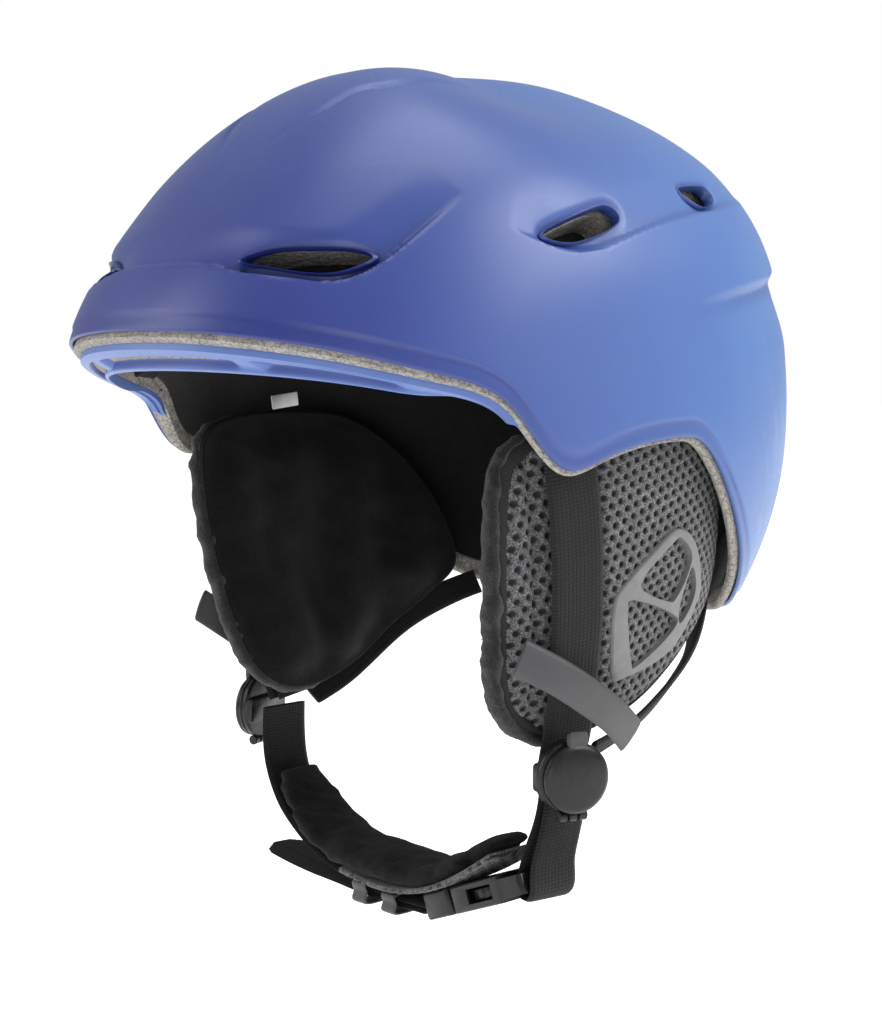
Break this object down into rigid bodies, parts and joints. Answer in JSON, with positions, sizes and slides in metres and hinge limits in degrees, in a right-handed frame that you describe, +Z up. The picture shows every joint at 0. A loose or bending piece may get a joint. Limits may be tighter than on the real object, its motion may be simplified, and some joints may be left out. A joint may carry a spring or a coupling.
{
  "type": "ski helmet",
  "caption": "Ski helmet with foam liner, padded ear flaps, nape dial fit system, goggle strap clip and buckled chin strap.",
  "frame": {"origin": "the point inside the crown pad where the top of the wearer's head touches, on the plane of symmetry", "axes": "+Z up as worn, -Y forward, +X to the wearer's left"},
  "size_m": [0.2044, 0.2726, 0.2841],
  "materials": {
    "shell": "satin",
    "trim": "satin",
    "foam": "matt beaded foam",
    "plush": "short pile",
    "mesh": "open knit",
    "webbing": "ribbed weave",
    "elastic": "smooth weave",
    "plastic": "satin",
    "rubber": "matt",
    "label": "woven"
  },
  "bodies": {
    "helmet": {"brow_pad": "plush", "brow_trim": "trim", "crown_pad": "plush", "divider_body_left": "plastic", "divider_body_right": "plastic", "eps_liner": "foam", "fit_housing": "plastic", "front_strap_left": "webbing", "front_strap_right": "webbing", "goggle_clip_base": "plastic", "neck_pad": "plush", "outer_shell": "shell", "pad_keeper_left": "elastic", "pad_keeper_right": "elastic", "rear_pad": "plush", "rear_strap_left": "webbing", "rear_strap_right": "webbing", "side_pad_left": "plush", "side_pad_right": "plush", "size_label": "label"},
    "ear_pad_left": {"ear_pad_left": "mesh", "ear_lining_left": "plush", "ear_badge_left": "rubber"},
    "ear_pad_right": {"ear_pad_right": "mesh", "ear_lining_right": "plush", "ear_badge_right": "rubber"},
    "divider_cover_left": {"divider_cover_left": "plastic"},
    "divider_cover_right": {"divider_cover_right": "plastic"},
    "chin_strap": {"chin_webbing_right": "webbing", "chin_webbing_left": "webbing", "webbing_tail": "webbing", "chin_pad": "plush", "keeper_band_inner": "elastic", "keeper_band_outer": "elastic", "buckle_plug": "plastic"},
    "buckle_socket": {"buckle_socket": "plastic"},
    "prong_rear": {"prong_rear": "plastic"},
    "prong_front": {"prong_front": "plastic"},
    "fit_dial": {"fit_dial": "plastic", "fit_pinion": "rubber"},
    "band_arm_left": {"band_arm_left": "rubber"},
    "band_arm_right": {"band_arm_right": "rubber"},
    "goggle_clip": {"goggle_clip": "plastic"}
  },
  "joints": [
    {"name": "ear_pad_left_fold", "type": "hinge", "parent": "helmet", "child": "ear_pad_left", "pos_m": [0.084, 0, -0.082], "axis": [0, 1, 0], "range_deg": [0, 12]},
    {"name": "ear_pad_right_fold", "type": "hinge", "parent": "helmet", "child": "ear_pad_right", "pos_m": [-0.084, 0, -0.082], "axis": [0, -1, 0], "range_deg": [0, 12]},
    {"name": "divider_cover_left_open", "type": "hinge", "parent": "helmet", "child": "divider_cover_left", "pos_m": [0.08331, -0.01738, -0.2048], "axis": [0.342, 0.9397, 0], "range_deg": [0, 100]},
    {"name": "divider_cover_right_open", "type": "hinge", "parent": "helmet", "child": "divider_cover_right", "pos_m": [-0.08331, -0.01738, -0.2048], "axis": [0.342, -0.9397, 0], "range_deg": [0, 100]},
    {"name": "chin_strap_swing", "type": "hinge", "parent": "helmet", "child": "chin_strap", "pos_m": [0, -0.0185, -0.192], "axis": [1, 0, 0], "range_deg": [-25, 25]},
    {"name": "buckle_pull", "type": "slide", "parent": "chin_strap", "child": "buckle_socket", "axis": [0.9291, 0, 0.3697], "range_m": [0, 0.024], "deforming": ["chin_webbing_left"]},
    {"name": "prong_rear_squeeze", "type": "hinge", "parent": "chin_strap", "child": "prong_rear", "pos_m": [0.03516, -0.0104, -0.23987], "axis": [0.3697, 0, -0.9291], "range_deg": [0, 7], "stiffness_Nm_per_rad": 0.08},
    {"name": "prong_front_squeeze", "type": "hinge", "parent": "chin_strap", "child": "prong_front", "pos_m": [0.03516, -0.0276, -0.23987], "axis": [-0.3697, 0, 0.9291], "range_deg": [0, 7], "stiffness_Nm_per_rad": 0.08},
    {"name": "fit_dial_turn", "type": "hinge", "parent": "helmet", "child": "fit_dial", "pos_m": [0, 0.0965, -0.167], "axis": [0, 1, 0], "range_deg": [-70, 70]},
    {"name": "band_arm_left_reach", "type": "slide", "parent": "helmet", "child": "band_arm_left", "axis": [1, 0, 0], "range_m": [-0.0063, 0.0063]},
    {"name": "band_arm_right_reach", "type": "slide", "parent": "helmet", "child": "band_arm_right", "axis": [-1, 0, 0], "range_m": [-0.0063, 0.0063]},
    {"name": "goggle_clip_open", "type": "hinge", "parent": "helmet", "child": "goggle_clip", "pos_m": [0, 0.1439, -0.087], "axis": [1, 0, 0], "range_deg": [0, 80]}
  ],
  "couplings": [
    {"joint": "prong_front_squeeze", "follows": "prong_rear_squeeze", "ratio": 1},
    {"joint": "band_arm_left_reach", "follows": "fit_dial_turn", "m_per_rad": 0.005},
    {"joint": "band_arm_right_reach", "follows": "fit_dial_turn", "m_per_rad": 0.005}
  ]
}
